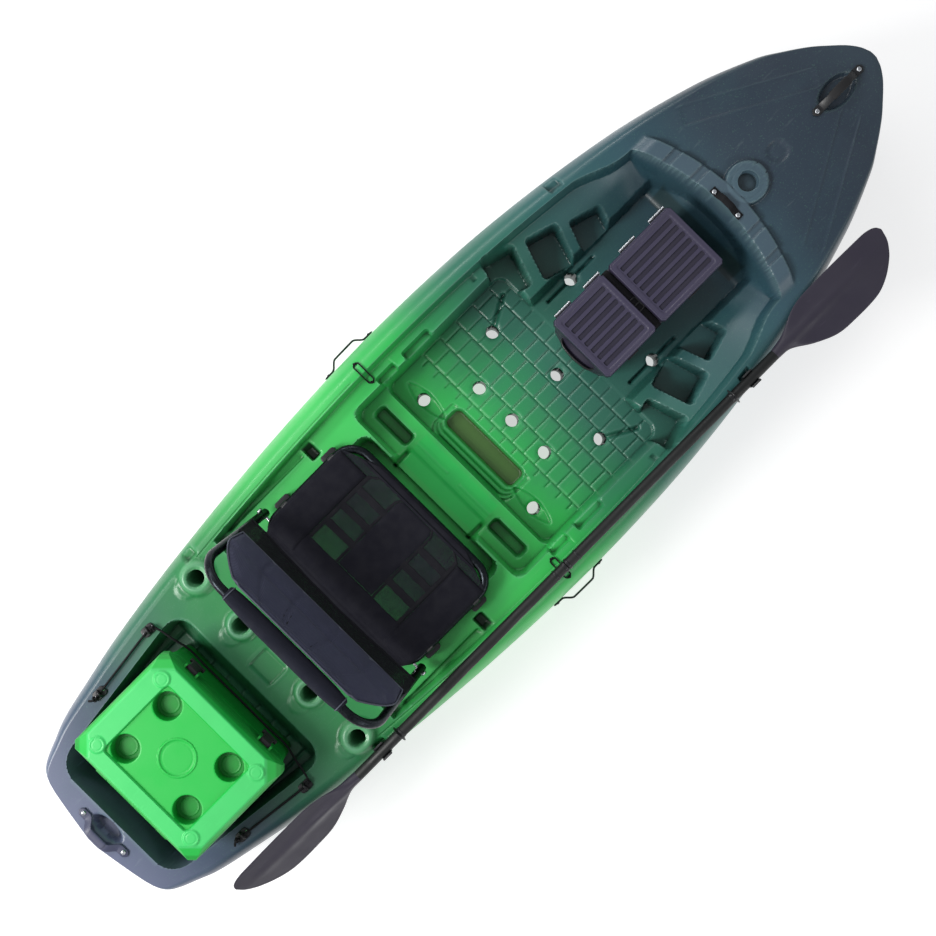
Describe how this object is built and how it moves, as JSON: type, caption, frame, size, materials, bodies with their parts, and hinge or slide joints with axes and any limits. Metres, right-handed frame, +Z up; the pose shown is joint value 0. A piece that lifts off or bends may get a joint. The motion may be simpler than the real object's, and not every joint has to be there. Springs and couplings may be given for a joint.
{
  "type": "sit-on-top fishing kayak",
  "caption": "Sit-on-top fishing kayak with a folding frame seat, a lidded cool box in the tank well, a tackle box with hinged lids, and a clipped two-bladed paddle.",
  "frame": {"origin": "on the flat of the keel, 0.015 m forward of the middle of the hull's length", "axes": "+X to the bow, +Y to port, +Z up"},
  "size_m": [2.9995, 0.9512, 0.6895],
  "materials": {
    "hull_plastic": "rotomoulded, green fading to slate at both ends",
    "cool_box_plastic": "moulded bright green",
    "black_plastic": "moulded black",
    "tackle_box_plastic": "moulded charcoal",
    "rubber": "black rubber",
    "steel": "stainless",
    "frame_tube": "black powder coat",
    "mesh_fabric": "open black mesh",
    "pad_fabric": "charcoal padded fabric",
    "cord": "black braid and webbing",
    "paddle_plastic": "dark composite"
  },
  "bodies": {
    "hull": {"bow_handle": "black_plastic", "bow_handle_screw_aft": "steel", "bow_handle_screw_fore": "steel", "breakwater_loop": "cord", "drain_seal": "rubber", "gunwale_loop_port": "cord", "gunwale_loop_starboard": "cord", "hull": "hull_plastic", "loop_screw_port": "steel", "loop_screw_starboard": "steel", "pad_eye_aft_port": "black_plastic", "pad_eye_aft_starboard": "black_plastic", "pad_eye_fore_port": "black_plastic", "pad_eye_fore_starboard": "black_plastic", "paddle_clip_aft": "rubber", "paddle_clip_fore": "rubber", "side_handle_port": "black_plastic", "side_handle_starboard": "black_plastic", "stern_handle": "black_plastic", "stern_handle_screw_port": "steel", "stern_handle_screw_starboard": "steel", "tank_bungee": "cord"},
    "cool_box": {"cooler_body": "cool_box_plastic", "cooler_gasket": "rubber", "cooler_hinge_rod": "steel"},
    "cool_box_lid": {"cooler_latch_pin_port": "steel", "cooler_latch_pin_starboard": "steel", "cooler_lid": "cool_box_plastic"},
    "latch_port": {"cooler_latch_port": "rubber"},
    "latch_starboard": {"cooler_latch_starboard": "rubber"},
    "drain_plug": {"drain_plug": "black_plastic"},
    "paddle_aft_half": {"paddle_blade_aft": "paddle_plastic", "paddle_shaft_aft": "paddle_plastic"},
    "paddle": {"paddle_blade_fore": "paddle_plastic", "paddle_ferrule": "black_plastic", "paddle_shaft_fore": "paddle_plastic"},
    "tackle_box": {"pod_body": "tackle_box_plastic", "pod_hinge_1": "steel", "pod_hinge_2": "steel", "pod_hinge_3": "steel", "pod_hinge_4": "steel", "pod_strap": "cord"},
    "tackle_lid_aft": {"pod_lid_aft": "tackle_box_plastic"},
    "tackle_lid_fore": {"pod_lid_fore": "tackle_box_plastic"},
    "seat_back": {"seat_back_frame": "frame_tube", "seat_back_pad": "pad_fabric", "seat_back_sleeve": "pad_fabric", "seat_lumbar": "mesh_fabric"},
    "seat": {"seat_base_frame": "frame_tube", "seat_foot_aft_port": "black_plastic", "seat_foot_aft_starboard": "black_plastic", "seat_foot_fore_port": "black_plastic", "seat_foot_fore_starboard": "black_plastic", "seat_pivot_bolt_port": "steel", "seat_pivot_bolt_starboard": "steel", "seat_sling": "mesh_fabric"}
  },
  "joints": [
    {"name": "paddle_lift", "type": "slide", "parent": "hull", "child": "paddle", "axis": [0, 0, 1], "range_m": [0, 0.12]},
    {"name": "paddle_feather", "type": "hinge", "parent": "paddle", "child": "paddle_aft_half", "pos_m": [-0.072, -0.382, 0.371], "axis": [1, 0, 0], "range_deg": [-45, 0]},
    {"name": "seat_lift", "type": "slide", "parent": "hull", "child": "seat", "axis": [0, 0, 1], "range_m": [0, 0.12]},
    {"name": "seat_back_fold", "type": "hinge", "parent": "seat", "child": "seat_back", "pos_m": [-0.556, 0, 0.347], "axis": [0, 1, 0], "range_deg": [0, 85]},
    {"name": "cool_box_lift", "type": "slide", "parent": "hull", "child": "cool_box", "axis": [0, 0, 1], "range_m": [0, 0.25]},
    {"name": "cool_box_lid_hinge", "type": "hinge", "parent": "cool_box", "child": "cool_box_lid", "pos_m": [-1.32, 0, 0.4723], "axis": [0, -1, 0], "range_deg": [0, 95]},
    {"name": "latch_port_hinge", "type": "hinge", "parent": "cool_box_lid", "child": "latch_port", "pos_m": [-0.958, 0.135, 0.4889], "axis": [0, -1, 0], "range_deg": [0, 100]},
    {"name": "latch_starboard_hinge", "type": "hinge", "parent": "cool_box_lid", "child": "latch_starboard", "pos_m": [-0.958, -0.135, 0.4889], "axis": [0, -1, 0], "range_deg": [0, 100]},
    {"name": "tackle_box_lift", "type": "slide", "parent": "hull", "child": "tackle_box", "axis": [0, 0, 1], "range_m": [0, 0.2]},
    {"name": "tackle_lid_aft_hinge", "type": "hinge", "parent": "tackle_box", "child": "tackle_lid_aft", "pos_m": [0.4655, 0.1152, 0.3283], "axis": [-1, 0, 0], "range_deg": [0, 105]},
    {"name": "tackle_lid_fore_hinge", "type": "hinge", "parent": "tackle_box", "child": "tackle_lid_fore", "pos_m": [0.703, 0.1152, 0.3283], "axis": [-1, 0, 0], "range_deg": [0, 105]},
    {"name": "drain_plug_turn", "type": "hinge", "parent": "hull", "child": "drain_plug", "pos_m": [-1.485, -0.19652, 0.24962], "axis": [-0.702, -0.702, 0.1203], "continuous": true}
  ]
}
